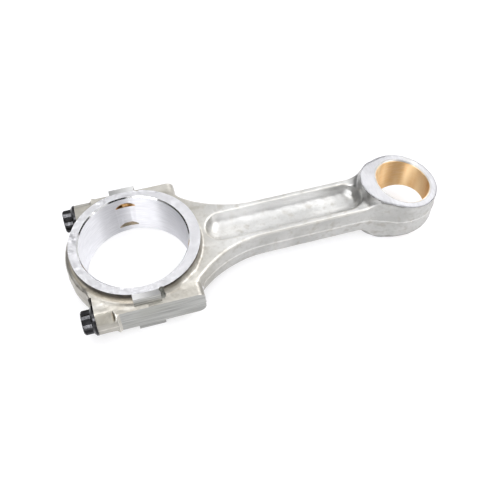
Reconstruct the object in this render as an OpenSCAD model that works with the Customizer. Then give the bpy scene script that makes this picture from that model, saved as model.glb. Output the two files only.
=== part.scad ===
// Connecting rod of an in-line diesel engine, with its cap, two cap bolts and pin bush.
// Millimetres. Origin at the centre of the crankpin bore, half way through its width.
// +X runs along the rod to the pin end, +Z along the crankpin bore.

/* [Layout] */
// Distance between the crankpin bore and the pin bore, centre to centre
centres = 216; // [190:0.5:240]

/* [Big end] */
// Diameter of the crankpin housing bore, without bearing shells
crank_bore_d = 82; // [70:0.5:90]
// Width of the big end across its two thrust faces
big_end_w = 41; // [34:0.5:48]
// Radius of the turned wall of the thrust ring
ring_r = 47; // [45:0.1:52]
// Offset of that turned wall towards the beam on the rod half
ring_x_rod = 3; // [0:0.1:4]
// Offset of that turned wall away from the beam on the cap half
ring_x_cap = 1.4; // [0:0.1:4]
// Outer radius of the forged belt around the cap
belt_r = 52.6; // [51:0.1:58]
// Half thickness of the forged bosses and belt
boss_half_t = 11.5; // [9:0.1:14]
// Distance from the centre line to the machined side flats
flat_y = 54.2; // [53:0.1:58]
// Chamfer at each end of the crankpin bore
bore_chamfer = 0.6; // [0.2:0.1:1.5]

/* [Cap bolts] */
// Distance of each bolt axis from the centre line
bolt_y = 47.4; // [46:0.1:52]
// Thread diameter of the bolts
bolt_d = 11; // [10:1:12]
// Radial clearance of the shank in its hole
bolt_gap = 0.05; // [0.02:0.01:0.1]
// Distance from the split to the bolt seat on the cap
seat_x = 38.8; // [34:0.1:46]
// Length of the bolt that reaches past the split into the rod
bolt_reach = 30; // [24:0.5:34]
// Radius over the points of the twelve-point head
head_r = 8.9; // [8:0.1:10]
// Radius of the bolt flange
flange_r = 11.2; // [10:0.1:12]
// Thickness of the bolt flange
flange_t = 3.2; // [2:0.1:5]
// Height of the twelve-point part of the head
head_h = 6.8; // [4:0.1:10]
// Thread pitch
pitch = 1.5; // [1:0.25:2]

/* [Beam] */
// Half width of the beam at its rims
beam_half_w = 17; // [14:0.1:20]
// Half thickness of the beam
beam_half_t = 13; // [10:0.1:15]
// Half width of the long pocket at the rims
pocket_half_w = 12.7; // [9:0.1:14]
// Half thickness of the web that is left between the two pockets
web_half_t = 4.2; // [2.5:0.1:6]
// Start of the pocket beside the big end
pocket_x0 = 54.8; // [50:0.1:70]
// End of the pocket beside the pin end
pocket_x1 = 181; // [165:0.1:185]
// Forging draft of the flanks, in degrees
draft = 4; // [1:0.5:8]

/* [Pin end] */
// Diameter of the bush bore for the piston pin
pin_bore_d = 43; // [40:0.5:46]
// Wall thickness of the bush
bush_wall = 2; // [1.5:0.1:3]
// Outer radius of the pin eye at its faces
eye_r = 27; // [26:0.1:31]
// Half width of the pin eye at its centre
eye_half_w = 16.9; // [14:0.1:20]
// Slope of each tapered side face, in degrees
taper = 12; // [0:0.5:15]
// Chamfer at each end of the bush bore
bush_chamfer = 1.3; // [0.3:0.1:2]

/* [Hidden] */
$fn = 96;
eps = 0.01;
crank_r = crank_bore_d / 2;
half_w = big_end_w / 2;
pin_r = pin_bore_d / 2;
bush_r = pin_r + bush_wall;
hole_r = bolt_d / 2 + bolt_gap;
tan_d = tan(draft);
arc_big = 80;
arc_big_x = 97;
arc_eye = 66.2;
arc_eye_x = 174;
eye_back = 34.8;
ramp_x = 176;
lobe_x = 12.5;
lobe_r = eye_back - lobe_x;
lobe_a = acos((eye_r - lobe_r) / lobe_x);
boss_end = 41;
pad_x = 10;
notch_y = 47;
notch_r = 3;
cap_boss_y = 57;
neck_end = centres - 12.2;
pad_y = 51.4;
hole_depth = 34;
flat_x = 24;
tang_z = [-12, 12];
tang_h = 4.6;
tang_cut_r = 12;
tang_cut_y = 31.1;

// Upper edge of the forging seen from the side, from the split to the pin eye.
side_top = [[0, boss_half_t], [36, boss_half_t], [72, beam_half_t], [ramp_x, beam_half_t],
    [ramp_x + 7, beam_half_t + 1.9], [ramp_x + 12, beam_half_t + 5.2], [ramp_x + 16, beam_half_t + 7],
    [centres, beam_half_t + 8]];
side_low = [for (i = [len(side_top) - 1:-1:0]) [side_top[i][0], -side_top[i][1]]];

// Half of the pocket's cross-section: x is across the beam, y is up.
wall_r = 6.5;
wall_a = 12;
wall_x = pocket_half_w - (beam_half_t - web_half_t - wall_r) * tan(wall_a) - wall_r;
floor_arc = [for (i = [0:8]) let (a = -90 + (90 - wall_a) * i / 8)
    [wall_x + wall_r * cos(a), web_half_t + wall_r + wall_r * sin(a)]];
open_z = 30;
open_x = floor_arc[8][0] + (open_z - floor_arc[8][1]) * tan(wall_a);
pocket_half = concat([[0, web_half_t]], floor_arc, [[open_x, open_z], [0, open_z]]);

// A cutter that leaves a concave flank with draft to both sides of the centre plane.
module arc_cutter(r) {
    for (s = [0, 1]) {
        mirror([0, 0, s]) {
            cylinder(h = 30, r1 = r - beam_half_t * tan_d, r2 = r + (30 - beam_half_t) * tan_d);
        }
    }
}

// Straight part of the beam with drafted flanks, between two stations.
module beam_bar(x0, x1) {
    w0 = beam_half_w + beam_half_t * tan_d;
    w1 = beam_half_w - (30 - beam_half_t) * tan_d;
    translate([x0, 0, 0]) {
        rotate([90, 0, 90]) {
            linear_extrude(height = x1 - x0) {
                polygon([[-w0, 0], [-w1, 30], [w1, 30], [w0, 0], [w1, -30], [-w1, -30]]);
            }
        }
    }
}

// The outline of the whole forging seen from above, made tall.
module plan_body() {
    difference() {
        translate([0, -41, -30]) {
            cube([arc_big_x, 82, 60]);
        }
        for (s = [-1, 1]) {
            translate([arc_big_x, s * (beam_half_w + arc_big), 0]) {
                arc_cutter(arc_big);
            }
        }
    }
    beam_bar(arc_big_x - 1, arc_eye_x + 1);
    difference() {
        translate([arc_eye_x, -eye_r, -30]) {
            cube([neck_end - arc_eye_x, 2 * eye_r, 60]);
        }
        for (s = [-1, 1]) {
            translate([arc_eye_x, s * (beam_half_w + arc_eye), 0]) {
                arc_cutter(arc_eye);
            }
        }
    }
}

// The outline of the forging seen from the side, made wide.
module side_body() {
    translate([0, 70, 0]) {
        rotate([90, 0, 0]) {
            linear_extrude(height = 140) {
                polygon(concat(side_top, side_low));
            }
        }
    }
}

// Outline of the pin eye seen from above: a round eye with a lobe towards the beam.
module eye_outline() {
    circle(r = eye_r);
    translate([-lobe_x, 0]) {
        circle(r = lobe_r);
    }
    c = -cos(lobe_a);
    d = sin(lobe_a);
    polygon([[eye_r * c, eye_r * d], [lobe_r * c - lobe_x, lobe_r * d],
        [lobe_r * c - lobe_x, -lobe_r * d], [eye_r * c, -eye_r * d]]);
}

// The beam with its pockets, and the tall pin eye between its two tapered side faces.
module beam_and_eye() {
    difference() {
        union() {
            difference() {
                intersection() {
                    plan_body();
                    side_body();
                }
                for (s = [0, 1]) {
                    mirror([0, 0, s]) {
                        pocket();
                    }
                }
            }
            translate([centres, 0, 0]) {
                linear_extrude(height = 60, center = true) {
                    eye_outline();
                }
            }
        }
        for (s = [0, 1]) {
            mirror([0, 0, s]) {
                face_cutter();
            }
        }
    }
}

// Thrust ring of the rod half, cut back beside the pads at the split.
module rod_ring() {
    difference() {
        intersection() {
            translate([ring_x_rod, 0, 0]) {
                cylinder(h = big_end_w, r = ring_r, center = true);
            }
            translate([0, -60, -30]) {
                cube([60, 120, 60]);
            }
        }
        for (y = [-notch_y, notch_y]) {
            for (s = [0, 1]) {
                mirror([0, 0, s]) {
                    translate([pad_x + notch_r - 0.5, y, boss_half_t]) {
                        cylinder(h = 20, r = notch_r);
                    }
                }
            }
        }
    }
}

// Bolt boss of the rod half, with rounded end corners and a machined side flat.
module rod_boss(side) {
    r = 6;
    t = boss_half_t;
    y0 = side > 0 ? 34 : -flat_y;
    translate([0, y0 + flat_y - 34, 0]) {
        rotate([90, 0, 0]) {
            linear_extrude(height = flat_y - 34) {
                polygon([[0, -t], [boss_end - r, -t], [boss_end, r - t], [boss_end, t - r],
                    [boss_end - r, t], [0, t]]);
                translate([boss_end - r, t - r]) {
                    circle(r = r);
                }
                translate([boss_end - r, r - t]) {
                    circle(r = r);
                }
            }
        }
    }
}

// A long pocket in one face of the beam, with round ends.
module pocket() {
    xa = pocket_x0 + pocket_half_w;
    xb = pocket_x1 - pocket_half_w;
    translate([xa, 0, 0]) {
        rotate([90, 0, 90]) {
            linear_extrude(height = xb - xa) {
                polygon(pocket_half);
                mirror([1, 0]) {
                    polygon(pocket_half);
                }
            }
        }
    }
    for (x = [xa, xb]) {
        translate([x, 0, 0]) {
            rotate_extrude() {
                polygon(pocket_half);
            }
        }
    }
}

// Concave fillet of radius f between an upright wall of radius r and the face at z.
module ring_fillet(r, z, f) {
    for (s = [0, 1]) {
        mirror([0, 0, s]) {
            rotate_extrude() {
                difference() {
                    translate([r - 6, z - 2]) {
                        square([6 + f, 2 + f]);
                    }
                    translate([r + f, z + f]) {
                        circle(r = f);
                    }
                }
            }
        }
    }
}

// Crankpin bore with its chamfers and the two keyway cuts for the shell tangs.
module crank_bore() {
    cylinder(h = big_end_w + 20, r = crank_r, center = true);
    for (s = [0, 1]) {
        mirror([0, 0, s]) {
            translate([0, 0, half_w - bore_chamfer]) {
                cylinder(h = 3, r1 = crank_r, r2 = crank_r + 3);
            }
        }
    }
    for (z = tang_z) {
        translate([0, tang_cut_y, z]) {
            cylinder(h = tang_h, r = tang_cut_r, center = true);
        }
    }
}

// Everything beyond one tapered side face of the pin eye.
module face_cutter() {
    translate([centres, 0, eye_half_w]) {
        rotate([0, taper, 0]) {
            translate([-eye_back - 20, -45, 0]) {
                cube([130, 90, 40]);
            }
        }
    }
}

module rod() {
    color([0.74, 0.73, 0.70]) {
        difference() {
            union() {
                beam_and_eye();
                rod_boss(-1);
                rod_boss(1);
                rod_ring();
                intersection() {
                    translate([ring_x_rod, 0, 0]) {
                        ring_fillet(ring_r, boss_half_t + 0.2, 3.5);
                    }
                    translate([14, -50, -half_w]) {
                        cube([45, 100, big_end_w]);
                    }
                }
                translate([0, -pad_y, -half_w]) {
                    cube([pad_x, 2 * pad_y, big_end_w]);
                }
            }
            crank_bore();
            translate([centres, 0, 0]) {
                cylinder(h = 80, r = bush_r, center = true);
            }
            for (s = [-1, 1]) {
                translate([-1, s * bolt_y, 0]) {
                    rotate([0, 90, 0]) {
                        cylinder(h = hole_depth + 1, r = hole_r);
                    }
                }
            }
        }
    }
}

// Section of a cap bolt boss, seen along the bolt.
module boss_section() {
    r = 5;
    o = cap_boss_y;
    i = 33;
    t = boss_half_t;
    polygon([[i, -t], [o - r, -t], [o, r - t], [o, t - r], [o - r, t], [i, t]]);
    for (z = [r - t, t - r]) {
        translate([o - r, z]) {
            circle(r = r);
        }
    }
}

// Thrust ring and forged belt of the cap, without the bores.
module cap_arch() {
    intersection() {
        union() {
            translate([-ring_x_cap, 0, 0]) {
                cylinder(h = big_end_w, r = ring_r, center = true);
                ring_fillet(ring_r, boss_half_t - 0.5, 2.5);
            }
            cylinder(h = 2 * boss_half_t - 1, r = belt_r, center = true);
        }
        translate([-60, -flat_y, -half_w]) {
            cube([60, 2 * flat_y, big_end_w]);
        }
    }
}

module cap() {
    color([0.72, 0.71, 0.68]) {
        difference() {
            union() {
                cap_arch();
                for (s = [0, 1]) {
                    mirror([0, s, 0]) {
                        translate([-seat_x, 0, 0]) {
                            rotate([90, 0, 90]) {
                                linear_extrude(height = seat_x) {
                                    boss_section();
                                }
                            }
                        }
                        translate([-flat_x + 3, 34, -boss_half_t]) {
                            cube([flat_x - 3, flat_y - 34, 2 * boss_half_t]);
                        }
                    }
                }
                translate([-pad_x, -pad_y, -half_w]) {
                    cube([pad_x, 2 * pad_y, big_end_w]);
                }
            }
            crank_bore();
            for (s = [-1, 1]) {
                translate([-seat_x - 20, s * bolt_y, 0]) {
                    rotate([0, 90, 0]) {
                        cylinder(h = seat_x + 21, r = hole_r);
                    }
                }
                translate([-flat_x + 3, s * (flat_y + 10), 0]) {
                    translate([30, 0, 0]) {
                        cube([60, 20, 60], center = true);
                    }
                    translate([0, -s * 7, 0]) {
                        cylinder(h = 60, r = 3, center = true);
                    }
                    translate([0, s * 3, 0]) {
                        cube([6, 20, 60], center = true);
                    }
                }
                translate([-seat_x - 15, s * bolt_y, 0]) {
                    cube([30, 24.4, 60], center = true);
                }
            }
        }
    }
}

// Ridges that stand for the rolled thread.
module thread(len) {
    n = floor(len / pitch);
    r = bolt_d / 2;
    d = 0.9;
    rotate_extrude() {
        polygon(concat([[0, 0]],
            [for (i = [0:n - 1]) for (k = [0, 1])
                [r - (k == 0 ? d : 0.05), (i + k * 0.5) * pitch]],
            [[r - d, n * pitch], [0, n * pitch]]));
    }
}

module bolt(side) {
    grip = seat_x + 4;
    color([0.13, 0.13, 0.14]) {
        translate([-seat_x, side * bolt_y, 0]) {
            rotate([0, 90, 0]) {
                cylinder(h = grip, r = bolt_d / 2);
                translate([0, 0, grip - eps]) {
                    thread(bolt_reach - 4);
                }
                translate([0, 0, -1.6]) {
                    cylinder(h = 1.6, r = flange_r);
                }
                translate([0, 0, -flange_t]) {
                    cylinder(h = flange_t - 1.6, r1 = head_r + 0.4, r2 = flange_r);
                }
                difference() {
                    translate([0, 0, -flange_t - head_h]) {
                        intersection() {
                            union() {
                                cylinder(h = head_h + eps, r = head_r, $fn = 6);
                                rotate([0, 0, 30]) {
                                    cylinder(h = head_h + eps, r = head_r, $fn = 6);
                                }
                            }
                            cylinder(h = head_h + 1, r1 = head_r - 1, r2 = head_r + 6);
                        }
                    }
                    translate([0, 0, -flange_t - head_h - 1]) {
                        cylinder(h = 2, r1 = 5.6, r2 = 4.4);
                    }
                }
            }
        }
    }
}

module bush() {
    color([0.80, 0.60, 0.32]) {
        difference() {
            translate([centres, 0, 0]) {
                cylinder(h = 70, r = bush_r, center = true);
            }
            translate([centres, 0, 0]) {
                cylinder(h = 80, r = pin_r, center = true);
            }
            for (s = [0, 1]) {
                mirror([0, 0, s]) {
                    face_cutter();
                    translate([centres, 0, eye_half_w]) {
                        rotate([0, taper, 0]) {
                            translate([0, 0, -bush_chamfer]) {
                                cylinder(h = 3, r1 = pin_r, r2 = pin_r + 3);
                            }
                        }
                    }
                }
            }
        }
    }
}

rod();
cap();
bolt(-1);  // bolt_near
bolt(1);  // bolt_far
bush();
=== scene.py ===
"""A forged connecting rod with its cap, two cap bolts and pin bush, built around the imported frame."""

import math

import bpy
import numpy as np
from mathutils import Matrix, Vector


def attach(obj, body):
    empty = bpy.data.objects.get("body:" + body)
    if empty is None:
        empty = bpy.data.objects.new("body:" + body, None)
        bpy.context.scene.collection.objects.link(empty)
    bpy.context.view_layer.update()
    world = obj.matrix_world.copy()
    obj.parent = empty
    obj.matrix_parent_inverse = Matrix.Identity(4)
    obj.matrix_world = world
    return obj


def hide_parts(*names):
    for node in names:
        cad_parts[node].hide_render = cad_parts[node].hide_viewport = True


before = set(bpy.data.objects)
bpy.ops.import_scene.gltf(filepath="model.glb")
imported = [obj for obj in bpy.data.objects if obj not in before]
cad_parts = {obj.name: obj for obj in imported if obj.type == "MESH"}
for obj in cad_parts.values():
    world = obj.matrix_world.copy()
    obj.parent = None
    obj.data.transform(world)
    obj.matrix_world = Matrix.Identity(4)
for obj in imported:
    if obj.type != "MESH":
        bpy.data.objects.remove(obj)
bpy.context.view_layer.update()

# ---------------------------------------------------------------- dimensions, mm
MM = 0.001
CENTRES = 216.0
CRANK_R = 41.0
HALF_W = 20.5
RING_R, RING_X_ROD, RING_X_CAP = 47.0, 3.0, -1.4
BOSS_T, FLAT_Y = 11.5, 54.2
BOLT_Y, HOLE_R, SEAT_X = 47.4, 5.55, 38.8
BEAM_W, BEAM_T = 17.0, 13.0
POCKET_X0, POCKET_X1, POCKET_W = 67.5, 168.3, 12.7
EYE_R, LOBE_X, LOBE_R = 27.8, 12.5, 23.1
EYE_W, TAPER = 16.9, math.radians(12)
BUSH_R = 23.5
PAD_X, PAD_Y = 10.0, 51.4
PIP_X, PIP_Y, PIP_R = 11.4, 47.6, 2.2
CHAMFER, EYE_CHAMFER = 0.9, 0.8
TANG_Z, TANG_Y, TANG_R, TANG_T = 12.0, 31.1, 12.0, 2.3
RELIEF_X, RELIEF_R = -21.0, 3.0
BELT_R = 52.6
FAR = 80.0      # well past the part on every side, for the cutters
TALL = 40.0     # well past its faces
STOCK = 24.0    # half height of the thrust rings before they are faced


# ---------------------------------------------------------------- distance fields
def smin(a, b, k):
    """Joins two bodies with a fillet of about k."""
    h = np.maximum(k - np.abs(a - b), 0.0) / k
    return np.minimum(a, b) - h * h * k * 0.25


def smax(a, b, k):
    """Cuts one body by another with an edge radius of about k."""
    return -smin(-a, -b, k)


def smoothstep(t):
    t = np.clip(t, 0.0, 1.0)
    return t * t * (3 - 2 * t)


def rounded(u, v, r):
    """Distance past a corner whose two walls are u = 0 and v = 0, rounded by r."""
    u, v = u + r, v + r
    return np.hypot(np.maximum(u, 0), np.maximum(v, 0)) + np.minimum(np.maximum(u, v), 0) - r


def thrust_ring(x, y, az, x0):
    return np.maximum(np.hypot(x - x0, y) - RING_R, az - STOCK)


def ripple(x, y, z):
    """The slight waviness of a forged skin."""
    return (0.055 * np.sin(0.31 * x + 0.8) * np.sin(0.37 * y + 0.4 * z + 1.1)
            + 0.035 * np.sin(0.73 * x + 0.5 * y) * np.sin(0.61 * y - 0.9 * z + 2.0))


def flash(z):
    """The trimmed forging line half way through the width."""
    return 0.42 * np.exp(-(z / 0.7) ** 2)


def beam(x, ay, az):
    """The beam with its two flares, and the way its thickness grows towards both ends."""
    big_x, big_r, pin_x, pin_r = 97.0, 80.0, 174.0, 60.5    # where each flare starts, and its radius
    u, v = np.clip(big_x - x, 0.0, 79.0), np.clip(x - pin_x, 0.0, 29.0)
    root_u, root_v = np.sqrt(big_r ** 2 - u * u), np.sqrt(pin_r ** 2 - v * v)
    width = np.minimum(BEAM_W + (big_r - root_u) + (pin_r - root_v), 41.0)
    slant = np.where(x < big_x, root_u / big_r, root_v / pin_r)
    draft = (BEAM_T - az) * 0.07
    flank = (ay - width - draft) * np.maximum(slant, 0.5)
    half_t = BOSS_T + (BEAM_T - BOSS_T) * smoothstep((x - 36.0) / 36.0) + 8.3 * smoothstep((x - 175.0) / 21.0)
    return np.maximum(smax(az - half_t, flank, 1.8), x - 212.0)


def pocket_field(x, y, az):
    """The long round-ended pocket, whose floor curves up into its wall and rises at the big end."""
    across = np.hypot(np.maximum(np.maximum(POCKET_X0 - x, x - POCKET_X1), 0.0), y)
    wall = (across - POCKET_W + (BEAM_T - az) * 0.25) * 0.97
    rise = np.clip((78.0 - x) / 20.0, 0.0, 1.1)
    return smax(wall, 4.3 + 2.0 * rise * rise - az, 8.0)


def eye_plan(px, py):
    """The pin eye seen from above: a round eye with a smaller lobe towards the beam."""
    b = (EYE_R - LOBE_R) / LOBE_X
    a = math.sqrt(1 - b * b)
    k = -px * a - py * b
    big, small = np.hypot(px, py) - EYE_R, np.hypot(px + LOBE_X, py) - LOBE_R
    return np.where(k < 0, big, np.where(k > a * LOBE_X, small, py * a - px * b - EYE_R))


def rod_field(x, y, z):
    ay, az = np.abs(y), np.abs(z)
    d = smax(beam(x, ay, az), -pocket_field(x, y, az), 1.3)
    bosses = smax(rounded(x - 41.0, az - BOSS_T, 6.0), ay - 57.0, 3.0)
    d = smin(d, bosses, 4.0)
    d = smin(d, thrust_ring(x, y, az, RING_X_ROD), 3.4)
    d = smin(d, np.maximum(eye_plan(x - CENTRES, ay), az - 29.0), 5.0)
    return np.maximum(d - flash(z) + ripple(x, y, z), -4.0 - x)


def cap_field(x, y, z):
    ay, az = np.abs(y), np.abs(z)
    belt = smax(np.hypot(x, y) - BELT_R, az - 11.0, 3.0)
    block = rounded(ay - 56.8, az - BOSS_T, 3.0)
    slant = 0.61 * ay + 0.79 * az - 39.4 - 6.0 * smoothstep((x + 26.5) / 4.0)
    bosses = smax(smax(block, slant, 0.7), -x - 41.0, 2.0)
    d = smin(belt, bosses, 3.0)
    d = smin(d, thrust_ring(x, y, az, RING_X_CAP), 3.0)
    return np.maximum(d - flash(z) + ripple(x + 300, y, z), x - 4.0)


# ---------------------------------------------------------------- mesh tools
def contour(name, field, low, high, step):
    """Meshes a field's zero surface: one point per crossed cell, then drawn onto the surface."""
    axes = [np.arange(a, b + step, step) for a, b in zip(low, high)]
    grid = np.meshgrid(*axes, indexing="ij", sparse=True)
    f = field(*grid)
    inside = f < 0
    n = [len(a) for a in axes]
    cells = [m - 1 for m in n]
    total = np.zeros(cells, np.int8)
    for i, j, k in np.ndindex(2, 2, 2):
        total += inside[i:n[0] - 1 + i, j:n[1] - 1 + j, k:n[2] - 1 + k]
    crossed = (total > 0) & (total < 8)
    index = np.full(cells, -1, np.int64)
    where = np.argwhere(crossed)
    index[crossed] = np.arange(len(where))
    # start each point at the mean of its cell's crossings
    sums = np.zeros((len(where), 3))
    count = np.zeros(len(where))
    base = [axes[a][where[:, a]] for a in range(3)]
    for a in range(3):
        b, c = (a + 1) % 3, (a + 2) % 3
        for j, k in np.ndindex(2, 2):
            p = where.copy()
            p[:, b] += j
            p[:, c] += k
            q = p.copy()
            q[:, a] += 1
            fp, fq = f[tuple(p.T)], f[tuple(q.T)]
            cut = (fp < 0) != (fq < 0)
            t = np.where(cut, fp / np.where(cut, fp - fq, 1.0), 0.0)
            point = np.zeros((len(where), 3))
            point[:, a], point[:, b], point[:, c] = t, j, k
            sums[cut] += point[cut]
            count[cut] += 1
    verts = np.stack(base, 1) + step * sums / count[:, None]
    quads = []
    for a in range(3):
        b, c = (a + 1) % 3, (a + 2) % 3
        here, ahead = [slice(None)] * 3, [slice(None)] * 3
        here[a], ahead[a] = slice(0, n[a] - 1), slice(1, n[a])
        pts = np.argwhere(inside[tuple(here)] != inside[tuple(ahead)])
        ok = (pts[:, b] > 0) & (pts[:, c] > 0) & (pts[:, b] < n[b] - 1) & (pts[:, c] < n[c] - 1)
        pts = pts[ok]
        corner = []
        for j, k in ((1, 1), (0, 1), (0, 0), (1, 0)):
            q = pts.copy()
            q[:, b] -= j
            q[:, c] -= k
            corner.append(index[tuple(q.T)])
        quad = np.stack(corner, 1)
        out = inside[tuple(pts.T)]
        quad[~out] = quad[~out][:, ::-1]
        quads.append(quad)
    quads = np.concatenate(quads)
    probe, rounds = 0.02, 3
    for _ in range(rounds):
        x, y, z = verts.T
        f0 = field(x, y, z)
        ahead = (field(x + probe, y, z), field(x, y + probe, z), field(x, y, z + probe))
        g = np.stack([f1 - f0 for f1 in ahead], 1) / probe
        move = f0[:, None] * g / np.maximum((g * g).sum(1), 0.25)[:, None]
        size = np.linalg.norm(move, axis=1, keepdims=True)
        verts -= move * np.minimum(1.0, 0.5 * step / np.maximum(size, 1e-9))
    return mesh_object(name, verts, quads)


def mesh_object(name, verts, faces):
    """A new object from points in mm."""
    mesh = bpy.data.meshes.new(name)
    verts = np.asarray(verts, float) * MM
    if isinstance(faces, np.ndarray):
        mesh.vertices.add(len(verts))
        mesh.vertices.foreach_set("co", verts.astype(np.float32).ravel())
        mesh.loops.add(faces.size)
        mesh.loops.foreach_set("vertex_index", faces.astype(np.int32).ravel())
        mesh.polygons.add(len(faces))
        width = faces.shape[1]
        mesh.polygons.foreach_set("loop_start", np.arange(0, faces.size, width, dtype=np.int32))
        mesh.update(calc_edges=True)
        mesh.validate()
    else:
        mesh.from_pydata(verts.tolist(), [], faces)
        mesh.update()
    obj = bpy.data.objects.new(name, mesh)
    bpy.context.scene.collection.objects.link(obj)
    return obj


def box(low, high):
    """A block between two corners."""
    v = [(x, y, z) for x in (low[0], high[0]) for y in (low[1], high[1]) for z in (low[2], high[2])]
    f = [(0, 1, 3, 2), (4, 6, 7, 5), (0, 4, 5, 1), (2, 3, 7, 6), (0, 2, 6, 4), (1, 5, 7, 3)]
    return mesh_object("cutter", v, f)


def lathe(profile, n=128, matrix=None):
    """A closed body turned about Z from (radius, height) points, listed upwards along the axis."""
    t = np.linspace(0, 2 * math.pi, n, endpoint=False)
    verts, rings = [], []
    for r, h in profile:
        if r == 0:
            rings.append([len(verts)])
            verts.append((0, 0, h))
        else:
            rings.append(list(range(len(verts), len(verts) + n)))
            verts += [(r * math.cos(a), r * math.sin(a), h) for a in t]
    faces = []
    for lo, hi in zip(rings, rings[1:]):
        for i in range(n):
            j = (i + 1) % n
            if len(lo) == 1:
                faces.append((lo[0], hi[j], hi[i]))
            elif len(hi) == 1:
                faces.append((lo[i], lo[j], hi[0]))
            else:
                faces.append((lo[i], lo[j], hi[j], hi[i]))
    obj = mesh_object("cutter", verts, faces)
    if matrix is not None:
        m = matrix.copy()
        m.translation = m.translation * MM
        obj.data.transform(m)
    return obj


def carve(obj, *steps):
    """Applies boolean steps, (operation, cutter), in order."""
    for operation, cutter in steps:
        m = obj.modifiers.new("cut", "BOOLEAN")
        m.operation, m.object, m.solver = operation, cutter, "MANIFOLD"
    bpy.context.view_layer.update()
    result = bpy.data.meshes.new_from_object(obj.evaluated_get(bpy.context.evaluated_depsgraph_get()))
    obj.modifiers.clear()
    old, obj.data = obj.data, result
    result.name = obj.name
    bpy.data.meshes.remove(old)
    for _, cutter in steps:
        bpy.data.objects.remove(cutter)


def shift(x, y, z):
    return Matrix.Translation((x, y, z))


ALONG_X = Matrix.Rotation(math.radians(90), 4, "Y")


def rod_of(r, z0, z1, x, y, n):
    """An upright round bar."""
    return lathe([(0, z0), (r, z0), (r, z1), (0, z1)], n, shift(x, y, 0))


def bore_tool():
    """The crankpin bore with its chamfers and tang slots."""
    r, c = CRANK_R, CHAMFER
    lip, top = 9, 30
    half = [(r, HALF_W - c), (r + c, HALF_W), (r + c + lip, top), (0, top)]
    tool = lathe([(a, -h) for a, h in reversed(half)] + half, 256)
    disc = [(0, -TANG_T), (TANG_R, -TANG_T), (TANG_R, -1.2), (TANG_R - 1.7, TANG_T), (0, TANG_T)]
    carve(tool, *[("UNION", lathe(disc, 96, shift(0, TANG_Y, z))) for z in (-TANG_Z, TANG_Z)])
    return tool


def face_tool(sign):
    """All that lies beyond one tapered face of the pin eye."""
    tool = box((-70, -50, 0), (60, 50, 40))
    m = shift(CENTRES * MM, 0, EYE_W * MM) @ Matrix.Rotation(TAPER, 4, "Y")
    tool.data.transform(m)
    if sign < 0:
        tool.data.transform(Matrix.Scale(-1, 4, (0, 0, 1)))
        tool.data.flip_normals()
    return tool


def eye_outline(n=240):
    """Points and outward normals around the pin eye, seen from above."""
    a = math.acos((EYE_R - LOBE_R) / LOBE_X)
    m = round(n * a / math.pi)
    t = np.concatenate([np.linspace(a - math.pi, math.pi - a, n - m, endpoint=False),
                        np.linspace(math.pi - a, math.pi + a, m, endpoint=False)])
    lobe = np.arange(n) >= n - m
    nx, ny = np.cos(t), np.sin(t)
    r = np.where(lobe, LOBE_R, EYE_R)
    return CENTRES + nx * r - LOBE_X * lobe, ny * r, nx, ny


def eye_chamfer(sign):
    """A swept ring that takes the edge off one tapered face of the pin eye."""
    x, y, nx, ny = eye_outline()
    n = len(x)
    c, out, over = EYE_CHAMFER, 2.0, 3.0
    verts = []
    for off, level in ((-c, 0.0), (out, -c - out), (out, over), (-c, over)):
        px, py = x + nx * off, y + ny * off
        pz = EYE_W - math.tan(TAPER) * (px - CENTRES) + level
        verts.append(np.stack([px, py, pz * sign], 1))
    faces = []
    for k in range(4):
        for i in range(n):
            j, m = (i + 1) % n, (k + 1) % 4
            quad = (k * n + i, k * n + j, m * n + j, m * n + i)
            faces.append(quad[::-1] if sign > 0 else quad)
    return mesh_object("cutter", np.concatenate(verts), faces)


def bolt_hole(side, x0, x1, tip=0.0):
    """A hole along the rod, with a drill point of length tip."""
    profile = [(0, x0), (HOLE_R, x0), (HOLE_R, x1), (0, x1 + tip)]
    return lathe(profile, 64, shift(0, side * BOLT_Y, 0) @ ALONG_X)


def side_box(side, x0, x1, y, tall):
    """A block on one side, from y outwards."""
    y0, y1 = sorted((side * y, side * FAR))
    return box((x0, y0, -tall), (x1, y1, tall))


def cut(tool):
    return ("DIFFERENCE", tool)


def faced(x0, x1):
    """Cuts that leave the big end at its width."""
    return [cut(box((x0, -FAR, HALF_W), (x1, FAR, 60))), cut(box((x0, -FAR, -60), (x1, FAR, -HALF_W)))]


# ---------------------------------------------------------------- rod
STEP = 0.7     # grid of the contoured forgings
rod = contour("forged_rod", rod_field, (-5.6, -63, -30.8), (249, 63, 30.8), STEP)
steps = [cut(box((-60, -FAR, -TALL), (0, FAR, TALL)))]
steps += faced(-60, 120)
steps += [cut(side_box(side, -60, 45, FLAT_Y, TALL)) for side in (1, -1)]
steps += [cut(face_tool(1)), cut(face_tool(-1)), cut(eye_chamfer(1)), cut(eye_chamfer(-1))]
steps += [("UNION", box((0, -PAD_Y, -HALF_W), (PAD_X, PAD_Y, HALF_W))), cut(bore_tool()),
          cut(rod_of(BUSH_R, -TALL, TALL, CENTRES, 0, 192))]
for side in (-1, 1):
    steps.append(cut(bolt_hole(side, -1, 34, 3)))
    for face in (-1, 1):
        z0, z1 = sorted((face * BOSS_T, face * 25))
        steps.append(cut(rod_of(PIP_R, z0, z1, PIP_X, side * PIP_Y, 48)))
carve(rod, *steps)

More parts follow.
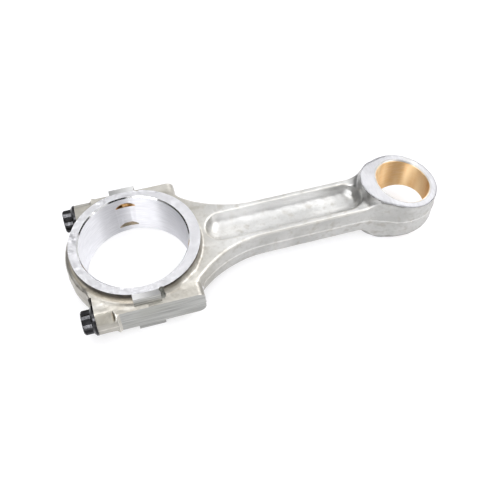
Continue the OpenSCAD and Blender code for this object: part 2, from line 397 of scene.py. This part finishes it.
# ---------------------------------------------------------------- cap
cap = contour("bearing_cap", cap_field, (-57.4, -63, -28), (5.6, 63, 28), STEP)
steps = [cut(box((0, -FAR, -TALL), (60, FAR, TALL)))]
steps += faced(-FAR, 120)
steps += [("UNION", box((-PAD_X, -PAD_Y, -HALF_W), (0, PAD_Y, HALF_W))), cut(bore_tool())]
for side in (-1, 1):
    flat = side_box(side, RELIEF_X, 5, FLAT_Y, TALL)
    relief_y = FLAT_Y + RELIEF_R
    relief = rod_of(RELIEF_R, -TALL, TALL, RELIEF_X, side * relief_y, 48)
    beyond = side_box(side, RELIEF_X - RELIEF_R, RELIEF_X + 1, relief_y, TALL - 1)
    carve(flat, ("UNION", relief), ("UNION", beyond))
    seat_w = 12.2
    seat = box((-70, side * BOLT_Y - seat_w, -TALL), (-SEAT_X, side * BOLT_Y + seat_w, TALL))
    steps += [cut(flat), cut(seat), cut(bolt_hole(side, -60, 1))]
carve(cap, *steps)


# ---------------------------------------------------------------- materials
class Shader:
    """A small builder for procedural materials in object coordinates (metres)."""

    def __init__(self, name, metallic=1.0):
        self.m = bpy.data.materials.new(name)
        self.m.use_nodes = True
        self.t = self.m.node_tree
        self.bsdf = self.t.nodes["Principled BSDF"]
        self.bsdf.inputs["Metallic"].default_value = metallic
        self.coord = self.t.nodes.new("ShaderNodeTexCoord").outputs["Object"]

    def put(self, socket, value):
        """Sets a socket to a number or colour, or links it."""
        if isinstance(value, tuple):
            socket.default_value = value + (1.0,)
        elif isinstance(value, (int, float)):
            socket.default_value = value
        else:
            self.link(value, socket)

    def node(self, kind, **values):
        n = self.t.nodes.new("ShaderNode" + kind)
        for k, v in values.items():
            setattr(n, k, v)
        return n

    def link(self, a, b):
        self.t.links.new(a, b)

    def attribute(self, name):
        return self.node("Attribute", attribute_name=name).outputs["Fac"]

    def math(self, op, a, b=0.0):
        n = self.node("Math", operation=op)
        for i, v in enumerate((a, b)):
            self.put(n.inputs[i], v)
        return n.outputs[0]

    def split(self):
        n = self.node("SeparateXYZ")
        self.link(self.coord, n.inputs[0])
        return n.outputs

    def noise(self, scale, detail=3.0, stretch=None, vector=None):
        v = vector or self.coord
        if stretch:
            m = self.node("Mapping")
            m.inputs["Scale"].default_value = stretch
            self.link(v, m.inputs["Vector"])
            v = m.outputs[0]
        n = self.node("TexNoise")
        n.inputs["Scale"].default_value = scale
        n.inputs["Detail"].default_value = detail
        self.link(v, n.inputs["Vector"])
        return n.outputs["Fac"]

    def span(self, value, a, b, c, d):
        """Runs smoothly from c to d as value runs from a to b."""
        n = self.node("MapRange", interpolation_type="SMOOTHSTEP")
        for i, v in enumerate((value, a, b, c, d)):
            self.put(n.inputs[i], v)
        return n.outputs[0]

    def mix(self, factor, a, b):
        n = self.node("Mix", data_type="RGBA")
        for i, v in ((0, factor), (6, a), (7, b)):
            self.put(n.inputs[i], v)
        return n.outputs[2]

    def bump(self, height, distance, strength=1.0, normal=None):
        n = self.node("Bump")
        n.inputs["Strength"].default_value = strength
        n.inputs["Distance"].default_value = distance
        self.link(height, n.inputs["Height"])
        if normal:
            self.link(normal, n.inputs["Normal"])
        return n.outputs[0]

    def radius(self, x0):
        """Distance from the upright axis at x0."""
        x, y, _ = self.split()
        dx = self.math("SUBTRACT", x, x0)
        squares = self.math("ADD", self.math("MULTIPLY", dx, dx), self.math("MULTIPLY", y, y))
        return self.math("SQRT", squares)

    def brushed(self, x0=None):
        """Stretches the highlight across turning marks: along Z, or outwards from the upright axis at x0."""
        v = self.node("CombineXYZ")
        if x0 is None:
            v.inputs[2].default_value = 1.0
        else:
            x, y, _ = self.split()
            self.link(self.math("SUBTRACT", x, x0), v.inputs[0])
            self.link(y, v.inputs[1])
        self.link(v.outputs[0], self.bsdf.inputs["Tangent"])
        self.bsdf.inputs["Anisotropic"].default_value = 1.0

    def done(self, color, rough, normal=None):
        for name, v in (("Base Color", color), ("Roughness", rough), ("Normal", normal)):
            if v is not None:
                self.put(self.bsdf.inputs[name], v)
        return self.m


def forged_steel():
    """Shot-blasted forging: mottled grey, with painted shade, dark and warm, in the hollows and dark on the
    flanks, painted light in the pocket, and edges made bright by wear and painted highlight.
    """
    s = Shader("forged_steel")
    shape, flank, pocket = s.attribute("shape"), s.attribute("flank"), s.attribute("pocket")
    broad = s.noise(38, 4)
    peel = s.noise(420, 3)
    grit = s.noise(1700, 2)
    streak = s.noise(60, 4, (0.35, 1.6, 1.0))
    tone = s.mix(s.span(broad, 0.35, 0.65, 0, 1), (0.50, 0.50, 0.495), (0.66, 0.66, 0.655))
    warm = s.mix(s.span(broad, 0.35, 0.65, 0, 1), (0.42, 0.40, 0.36), (0.56, 0.54, 0.495))
    tone = s.mix(s.span(s.split()[0], 0.03, 0.08, 1, 0), tone, warm)
    tone = s.mix(s.span(streak, 0.52, 0.74, 0, 0.5), tone, (0.78, 0.77, 0.75))
    tone = s.mix(s.span(s.noise(150, 4), 0.52, 0.72, 0, 0.5), tone, (0.36, 0.335, 0.29))
    tone = s.mix(s.span(peel, 0.5, 0.72, 0, 0.2), tone, (0.36, 0.34, 0.31))
    # painted shade: the hollows are darkened to a warm brown
    tone = s.mix(s.span(shape, 0.44, 0.1, 0, 0.9), tone, (0.25, 0.21, 0.16))
    # the convex edges are brightened: partly wear, partly painted highlight
    tone = s.mix(s.span(shape, 0.6, 1.0, 0, 0.85), tone, (0.84, 0.81, 0.75))
    # painted shade: the flanks, which face sideways, are darkened
    tone = s.mix(s.span(flank, 0.5, 1.0, 0, 0.45), tone, (0.16, 0.15, 0.12))
    # painted light: the pocket's level floor is whitened, broken up by the streaks
    pocket = s.math("MULTIPLY", pocket, s.span(streak, 0.4, 0.62, 0.95, 0.6))
    tone = s.mix(pocket, tone, (0.90, 0.90, 0.90))
    rough = s.span(s.math("ADD", broad, peel), 0.7, 1.3, 0.34, 0.48)
    normal = s.bump(grit, 0.00006, 0.6, s.bump(peel, 0.00022, 0.7))
    return s.done(tone, rough, normal)


def turned_steel(x0, name, low, high):
    """Small faced areas, with fine marks around the upright axis at x0."""
    s = Shader(name)
    v = s.node("CombineXYZ")
    s.link(s.radius(x0), v.inputs[0])
    marks = s.noise(2600, 3, vector=v.outputs[0])
    cloud = s.noise(55, 3)
    tone = s.mix(s.span(marks, 0.3, 0.7, 0, 1), (low, low, low), (high, high, high))
    tone = s.mix(s.span(cloud, 0.45, 0.7, 0, 0.4), tone, (0.47, 0.47, 0.47))
    s.brushed(x0)
    return s.done(tone, s.span(marks, 0.3, 0.7, 0.5, 0.6), s.bump(marks, 0.000003, 0.5))


def bored_steel():
    """The honed bores, with fine marks along the turn, and the bright faces around them."""
    s = Shader("bored_steel")
    marks = s.noise(900, 3, (0.12, 0.12, 2.2))
    cloud = s.noise(70, 3)
    tone = s.mix(s.span(marks, 0.3, 0.7, 0, 1), (0.74, 0.74, 0.77), (0.86, 0.86, 0.89))
    rough = s.span(s.math("ADD", cloud, marks), 0.7, 1.3, 0.44, 0.54)
    s.brushed()
    return s.done(tone, rough, s.bump(marks, 0.00001, 0.4))


def bevel_steel():
    """The small turned bevels, left smooth."""
    s = Shader("bevel_steel")
    cloud = s.noise(120, 3)
    tone = s.mix(s.span(cloud, 0.35, 0.65, 0, 1), (0.66, 0.66, 0.67), (0.80, 0.80, 0.80))
    return s.done(tone, s.span(cloud, 0.35, 0.65, 0.06, 0.14))


def slot_steel():
    """The milled tang slots, browned by cutting oil."""
    s = Shader("slot_steel")
    cloud = s.noise(260, 3)
    tone = s.mix(s.span(cloud, 0.38, 0.62, 0, 1), (0.20, 0.12, 0.05), (0.80, 0.62, 0.40))
    tone = s.mix(s.span(s.split()[2], -0.002, 0.002, 0.75, 0), tone, (0.50, 0.48, 0.44))
    return s.done(tone, s.span(cloud, 0.3, 0.7, 0.25, 0.5), s.bump(cloud, 0.00005, 0.5))


def painted_rim_shade(name, low, high, foot):
    """Painted shade under the rim of a thrust ring: near-black, giving way to foot from high to low."""
    s = Shader(name, 0.8)
    cloud = s.noise(220, 4)
    ragged = s.math("MULTIPLY", s.math("SUBTRACT", cloud, 0.5), 0.004)
    depth = s.math("ADD", s.math("ABSOLUTE", s.split()[2]), ragged)
    tone = s.mix(s.span(cloud, 0.4, 0.7, 0, 1), (0.03, 0.027, 0.024), (0.09, 0.075, 0.06))
    tone = s.mix(s.span(depth, low, high, 1, 0), tone, foot)
    return s.done(tone, s.span(cloud, 0.3, 0.7, 0.35, 0.5), s.bump(cloud, 0.00006, 0.5))


def milled_steel():
    """The side flats and seats: brushed along the rod, a little darker."""
    s = Shader("milled_steel")
    marks = s.noise(650, 4, (0.06, 1.0, 1.6))
    cloud = s.noise(60, 4, (0.5, 1, 1.4))
    tone = s.mix(s.span(marks, 0.3, 0.7, 0, 1), (0.26, 0.262, 0.25), (0.46, 0.46, 0.445))
    tone = s.mix(s.span(cloud, 0.5, 0.7, 0, 0.45), tone, (0.30, 0.30, 0.27))
    return s.done(tone, s.span(marks, 0.3, 0.7, 0.3, 0.42), s.bump(marks, 0.00003, 0.5))


def black_oxide():
    """The bolts: blackened, satin, rubbed grey in patches."""
    s = Shader("black_oxide")
    n = s.noise(800, 4)
    wear = s.noise(160, 5)
    tone = s.mix(s.span(wear, 0.5, 0.74, 0, 1), (0.028, 0.028, 0.03), (0.065, 0.065, 0.07))
    return s.done(tone, s.span(n, 0.3, 0.7, 0.12, 0.22), s.bump(n, 0.00002, 0.4))


def bush_metal():
    """Bronze lining in a steel back, told apart by distance from the pin axis."""
    s = Shader("bush_bronze")
    s.brushed()
    r = s.radius(CENTRES * MM)
    marks = s.noise(900, 3, (0.12, 0.12, 2.0))
    cloud = s.noise(45, 3, (1.6, 1.6, 0.35))
    bronze = s.mix(s.span(cloud, 0.35, 0.65, 0, 1), (0.76, 0.50, 0.24), (0.92, 0.72, 0.45))
    # pale cream streaks along the turning marks: painted sheen
    bronze = s.mix(s.span(marks, 0.4, 0.75, 0, 0.4), bronze, (0.95, 0.80, 0.58))
    tone = s.mix(s.span(r, 0.02195, 0.02205, 0, 1), bronze, (0.70, 0.69, 0.68))
    return s.done(tone, s.span(marks, 0.3, 0.7, 0.42, 0.52), s.bump(marks, 0.00001, 0.4))


METALS = [forged_steel(),
          turned_steel(0.0, "faced_ring", 0.53, 0.68),
          # the eye's faces take the same turned steel as the ring in lighter tones: painted light
          turned_steel(CENTRES * MM, "faced_eye", 0.66, 0.82),
          bored_steel(), milled_steel(), bevel_steel(), slot_steel(),
          # painted shade under the rims of the thrust rings, on the cap and on the rod
          painted_rim_shade("cap_painted_rim_shade", 0.0118, 0.0168, (0.46, 0.42, 0.35)),
          painted_rim_shade("rod_painted_rim_shade", 0.0140, 0.0195, (0.52, 0.49, 0.44))]
FORGED, RING, EYE, BORED, MILLED, BEVEL, TANG, CAP_PAINTED_RIM_SHADE, ROD_PAINTED_RIM_SHADE = range(len(METALS))
OXIDE, BRONZE = black_oxide(), bush_metal()


def rows(items, attribute):
    """Three numbers for each item of a mesh."""
    data = np.empty(len(items) * 3, np.float32)
    items.foreach_get(attribute, data)
    return data.reshape(-1, 3)


def finishes(mesh):
    """The finish of each face, from where its middle lies and which way it points. Later rules win."""
    x, y, z = (rows(mesh.polygons, "center") / MM).T
    nx, ny, nz = rows(mesh.polygons, "normal").T
    ay, az, up = np.abs(y), np.abs(z), np.abs(nz)
    bore, pin = np.hypot(x, y), np.hypot(x - CENTRES, y)
    bevel_foot = HALF_W - CHAMFER - 0.02
    eye_face = EYE_W - math.tan(TAPER) * (x - CENTRES)
    at_eye = x > 150
    f = np.full(len(x), FORGED, np.int32)
    f[(az > HALF_W - 0.02) & (up > 0.9)] = RING
    f[at_eye & (np.abs(az - eye_face) < 0.05) & (up > 0.9)] = EYE
    # a ring-shaped face has its middle inside its bore, so the thrust rings and the eye's faces join here
    f[(bore < CRANK_R + 0.05) | (pin < BUSH_R + 0.1)] = BORED
    f[(bore > CRANK_R - 0.1) & (bore < CRANK_R + 1.0) & (az > bevel_foot) & (up > 0.3) & (up < 0.9)] = BEVEL
    f[at_eye & (az > eye_face - 0.83) & (az < eye_face) & (up > 0.4) & (up < 0.95) & (f == FORGED)] = BEVEL
    f[(bore > CRANK_R) & (bore < 43.5) & (y > 35) & (np.abs(az - TANG_Z) < 2.4)] = TANG
    f[(ay > FLAT_Y - 0.02) & (np.abs(ny) > 0.95) & (x > -24.1)] = MILLED
    f[(np.abs(x) < 0.02) | ((x < -SEAT_X + 0.02) & (nx < -0.95) & (ay > 35))] = MILLED
    f[(np.abs(x) < PAD_X + 0.02) & (az > BOSS_T) & (ay > 47) & (up < 0.5)] = MILLED
    f[np.hypot(ay - BOLT_Y, z) < HOLE_R + 0.05] = BORED
    # the band under each thrust ring's rim gets the near-black painted shade
    for x0, beyond, foot, reach, scale in ((RING_X_CAP, x < -PAD_X, BOSS_T - 0.6, 1.6, CAP_PAINTED_RIM_SHADE),
                                           (RING_X_ROD, x > PAD_X, 15.5, 1.2, ROD_PAINTED_RIM_SHADE)):
        past = np.hypot(x - x0, y) - RING_R
        f[beyond & (past > -0.4) & (past < reach) & (az > foot) & (f == FORGED)] = scale
    f[np.hypot(x - PIP_X, ay - PIP_Y) < PIP_R + 0.1] = MILLED
    return f


def painted_light_masks(x, y, z, field):
    """Masks for the forging's painted light and shade: where it is hollow (0) or edgy (1), where it is a
    flank, and where it is a pocket's wall.
    """
    h = 1.2
    around = sum(field(x + s * h, y, z) + field(x, y + s * h, z) + field(x, y, z + s * h) for s in (1, -1))
    bend = (around - 6 * field(x, y, z)) / h
    level = 1 - np.abs(field(x, y, z + 0.3) - field(x, y, z - 0.3)) / 0.6
    ay, az = np.abs(y), np.abs(z)
    inside = (ay < 13.5) & (x > 58) & (x < 182)
    flank = np.where(inside, 1.2 * level * (x < 63), np.minimum(level, 0.8))
    flank = np.where((x < -25) & (ay > 49.5) & (az > 5), 1.0, flank)
    ends = np.clip(np.minimum((x - 60) / 12, (170 - x) / 25), 0, 1)
    return {"shape": 0.5 + bend * 0.5, "flank": flank, "pocket": np.clip(1.3 * level, 0, 1) * inside * ends}


def dress(obj, field):
    """Gives the machined faces their own finish, keeps their edges crisp and writes the forging's masks for
    painted light and shade.
    """
    mesh = obj.data
    mesh.materials.clear()
    for metal in METALS:
        mesh.materials.append(metal)
    mesh.polygons.foreach_set("material_index", finishes(mesh))
    mesh.shade_smooth()
    mesh.set_sharp_from_angle(angle=math.radians(32))
    x, y, z = (rows(mesh.vertices, "co") / MM).T.astype(float)
    for name, values in painted_light_masks(x, y, z, field).items():
        values = np.clip(values, 0, 1).astype(np.float32)
        mesh.attributes.new(name, "FLOAT", "POINT").data.foreach_set("value", values)
    mesh.update()


for piece, node, body, slot, field in ((rod, "rod", "rod_body", "rod_steel", rod_field),
                                       (cap, "cap", "cap_body", "cap_steel", cap_field)):
    dress(piece, field)
    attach(piece, body)
    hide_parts(node)

for node, metal in (("bolt_near", OXIDE), ("bolt_far", OXIDE), ("bush", BRONZE)):
    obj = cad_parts[node]
    for slot in obj.material_slots:
        slot.material = metal
    if metal is OXIDE:
        bevel = obj.modifiers.new("edges", "BEVEL")
        bevel.width, bevel.segments = 0.25 * MM, 2
        bevel.limit_method, bevel.angle_limit = "ANGLE", math.radians(25)

# ---------------------------------------------------------------- stage, light, camera
# the rod rests on the edge of its big end and on the widest corner of its tapered eye, 231 mm away
SLOPE = math.atan2(3.4, 231.0)
WIDE = 3000
corners = [(x * WIDE, y * WIDE, 0) for x, y in ((-1, -1), (1, -1), (1, 1), (-1, 1))]
floor = mesh_object("floor", corners, [(0, 1, 2, 3)])
floor.matrix_world = shift(-0.048, 0, -HALF_W * MM) @ Matrix.Rotation(SLOPE, 4, "Y")
paper = Shader("pale_floor", 0.0)
paper.done((0.44, 0.44, 0.455), 0.9)
paper.bsdf.inputs["Specular IOR Level"].default_value = 0.0
paper.bsdf.inputs["Emission Color"].default_value = (1, 1, 1, 1)
paper.bsdf.inputs["Emission Strength"].default_value = 0.60
floor.data.materials.append(paper.m)


class Dome(Shader):
    """The studio around the part: bright overhead and to the right, dim low down on the left."""

    def __init__(self):
        world = bpy.data.worlds.new("studio")
        bpy.context.scene.world = world
        world.use_nodes = True
        self.t = world.node_tree
        self.coord = self.t.nodes.new("ShaderNodeTexCoord").outputs["Generated"]

    def toward(self, x, y, z):
        n = self.node("VectorMath", operation="DOT_PRODUCT")
        self.link(self.coord, n.inputs[0])
        n.inputs[1].default_value = Vector((x, y, z)).normalized()
        return n.outputs["Value"]


dome = Dome()
height = dome.span(dome.toward(0.3, -0.1, 1), 0.08, 0.82, 0.0, 1.0)
low = dome.math("ADD", dome.span(dome.toward(1, -0.6, 0), -1.0, 1.0, 0.06, 1.0),
                dome.span(dome.toward(0.25, 1, 0.5), 0.7, 1.0, 0.0, 0.5))
high = dome.span(dome.toward(0.5, 0.45, 0.8), 0.72, 1.0, 0.92, 1.32)
level = dome.math("ADD", dome.math("MULTIPLY", high, height),
                  dome.math("MULTIPLY", low, dome.math("SUBTRACT", 1.0, height)))
# dark gaps between the soft boxes, which the turned bevels mirror
for (gx, gy, gz), edge in (((0.16, -0.76, 0.64), 0.965), ((0.905, -0.07, 0.42), 0.952)):
    gap = dome.span(dome.toward(gx, gy, gz), edge, edge + 0.015, 1.0, 0.06)
    level = dome.math("MULTIPLY", level, gap)
dome.link(level, dome.t.nodes["Background"].inputs["Strength"])
dome.t.nodes["Background"].inputs["Color"].default_value = (1, 1, 1, 1)


def area(name, place, target, size, power):
    """A white soft box that faces its target."""
    light = bpy.data.lights.new(name, "AREA")
    light.shape, light.size, light.size_y = "RECTANGLE", size[0], size[1]
    light.energy = power
    obj = bpy.data.objects.new(name, light)
    bpy.context.scene.collection.objects.link(obj)
    turn = (Vector(place) - Vector(target)).to_track_quat("Z", "Y").to_matrix().to_4x4()
    obj.matrix_world = Matrix.Translation(place) @ turn


area("overhead", (-0.25, 0.1, 0.93), (0.05, 0, 0), (0.5, 0.5), 1.8)
area("strip", (-0.125, -0.42, 0.9), (-0.045, 0, 0), (0.14, 0.3), 1.4)
area("right", (0.9, -0.08, 0.9), (0.1, 0, 0), (1.0, 0.4), 5.0)
area("far_right", (0.74, 0.5, 0.66), (0.15, 0, 0), (0.3, 0.3), 0.8)
area("left_front", (-0.62, -0.78, 0.6), (0.1, 0, 0), (0.8, 0.5), 4.4)

AZ, EL, ROLL = math.radians(-15.65), math.radians(55.34), math.radians(-0.47)
back = Vector((math.sin(AZ) * math.cos(EL), -math.cos(AZ) * math.cos(EL), math.sin(EL)))
right = Vector((math.cos(AZ), math.sin(AZ), 0))
up = back.cross(right)
x_axis = math.cos(ROLL) * right + math.sin(ROLL) * up
y_axis = -math.sin(ROLL) * right + math.cos(ROLL) * up
cam = bpy.data.cameras.new("camera")
cam.sensor_width, cam.lens, cam.clip_start = 36, 723.5 / 500 * 36, 0.01
cam_obj = bpy.data.objects.new("camera", cam)
bpy.context.scene.collection.objects.link(cam_obj)
rot = Matrix((x_axis, y_axis, back)).transposed().to_4x4()
cam_obj.matrix_world = Matrix.Translation((-0.00074, -0.32364, 0.45725)) @ rot
bpy.context.scene.camera = cam_obj
bpy.context.scene.view_settings.view_transform = "Standard"
